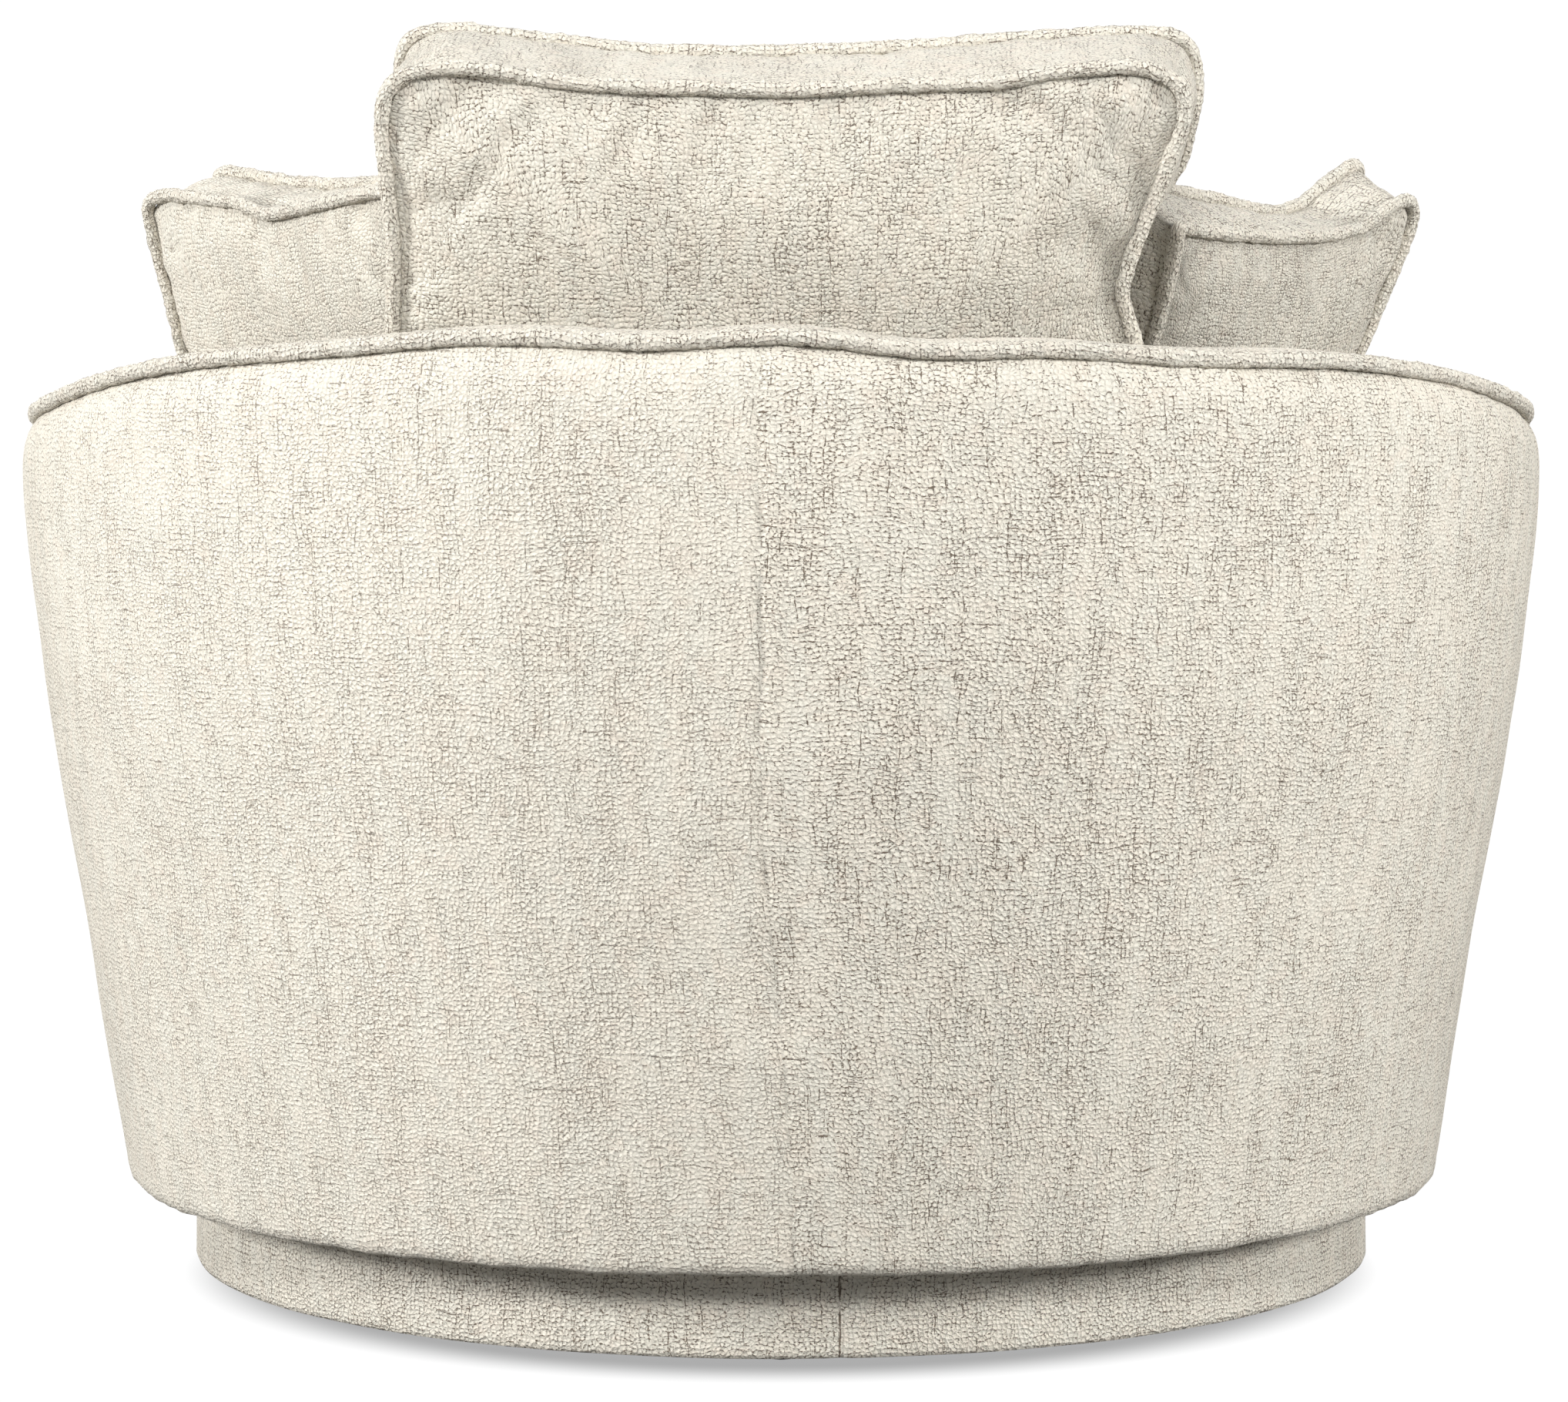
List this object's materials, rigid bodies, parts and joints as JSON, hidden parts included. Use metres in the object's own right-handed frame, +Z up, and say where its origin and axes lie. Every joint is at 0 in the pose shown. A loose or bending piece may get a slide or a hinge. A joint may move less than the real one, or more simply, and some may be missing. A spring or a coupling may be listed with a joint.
{
  "type": "upholstered swivel tub chair",
  "caption": "Wide round swivel tub chair in cream chenille, with a low wrap-around back, a deep seat cushion, a large back cushion and scatter cushions on a round plinth.",
  "frame": {"origin": "on the floor, on the swivel axis under the middle of the plinth", "axes": "+Z up along the swivel axis, +Y towards the back of the tub, -Y towards the open seat front, +X towards the sitter's left"},
  "size_m": [1.193, 1.1928, 0.9448],
  "materials": {
    "cream_chenille": "nubbly cream chenille with thin dark flecks",
    "cream_piping": "self-covered piping",
    "ply": "sanded birch plywood",
    "millboard": "grey-brown millboard",
    "seat_foam": "open-cell upholstery foam",
    "fibre_filling": "hollow-fibre filling",
    "grey_felt": "needled felt",
    "black_cloth": "non-woven dust cloth",
    "black_nylon": "moulded nylon",
    "steel": "zinc-plated pressed steel"
  },
  "bodies": {
    "base": {"glide_1": "black_nylon", "glide_2": "black_nylon", "glide_3": "black_nylon", "glide_4": "black_nylon", "glide_5": "black_nylon", "glide_6": "black_nylon", "plinth_hoop": "ply", "plinth_brace": "ply", "plinth_top_board": "ply", "plinth_cover": "cream_chenille", "swivel_lower_plate": "steel", "lower_plate_screw_1": "steel", "lower_plate_screw_2": "steel", "lower_plate_screw_3": "steel", "lower_plate_screw_4": "steel"},
    "bearing_cage": {"ball_cage": "steel"},
    "tub": {"swivel_upper_plate": "steel", "upper_plate_screw_1": "steel", "upper_plate_screw_2": "steel", "upper_plate_screw_3": "steel", "upper_plate_screw_4": "steel", "chassis_board": "ply", "dust_cover": "black_cloth", "back_rib_1": "ply", "back_rib_2": "ply", "back_rib_3": "ply", "back_rib_4": "ply", "back_rib_5": "ply", "back_rib_6": "ply", "back_rib_7": "ply", "front_strut_1": "ply", "front_strut_2": "ply", "front_strut_3": "ply", "seat_ring": "ply", "top_rail": "ply", "zigzag_spring_1": "steel", "zigzag_spring_2": "steel", "zigzag_spring_3": "steel", "zigzag_spring_4": "steel", "spring_pad": "grey_felt", "seat_deck_cover": "cream_chenille", "outer_liner": "millboard", "front_panel": "ply", "inner_wall_foam": "seat_foam", "arm_front_foam_left": "seat_foam", "arm_front_foam_right": "seat_foam", "outer_cover_left": "cream_chenille", "outer_cover_right": "cream_chenille", "inner_cover": "cream_chenille", "front_border_cover": "cream_chenille", "rim_piping": "cream_piping"},
    "seat_cushion": {"seat_cushion_cover": "cream_chenille", "seat_cushion_core": "seat_foam"},
    "back_cushion": {"back_cushion_cover": "cream_chenille", "back_cushion_filling": "fibre_filling"},
    "scatter_left": {"scatter_cushion_left_cover": "cream_chenille", "scatter_cushion_left_filling": "fibre_filling"},
    "scatter_right": {"scatter_cushion_right_cover": "cream_chenille", "scatter_cushion_right_filling": "fibre_filling"}
  },
  "joints": [
    {"name": "swivel", "type": "hinge", "parent": "base", "child": "tub", "pos_m": [0, 0, 0.0688], "axis": [0, 0, 1], "continuous": true},
    {"name": "cage_spin", "type": "hinge", "parent": "base", "child": "bearing_cage", "pos_m": [0, 0, 0.0688], "axis": [0, 0, 1], "continuous": true},
    {"name": "seat_lift", "type": "slide", "parent": "tub", "child": "seat_cushion", "axis": [0, 0, 1], "range_m": [0, 0.45]},
    {"name": "back_lift", "type": "slide", "parent": "seat_cushion", "child": "back_cushion", "axis": [0, 0.309, 0.9511], "range_m": [0, 0.36]},
    {"name": "scatter_left_lift", "type": "slide", "parent": "seat_cushion", "child": "scatter_left", "axis": [0.3291, 0.2391, 0.9135], "range_m": [0, 0.32]},
    {"name": "scatter_right_lift", "type": "slide", "parent": "seat_cushion", "child": "scatter_right", "axis": [-0.3291, 0.2391, 0.9135], "range_m": [0, 0.32]}
  ],
  "couplings": [
    {"joint": "cage_spin", "follows": "swivel", "ratio": 0.5}
  ]
}
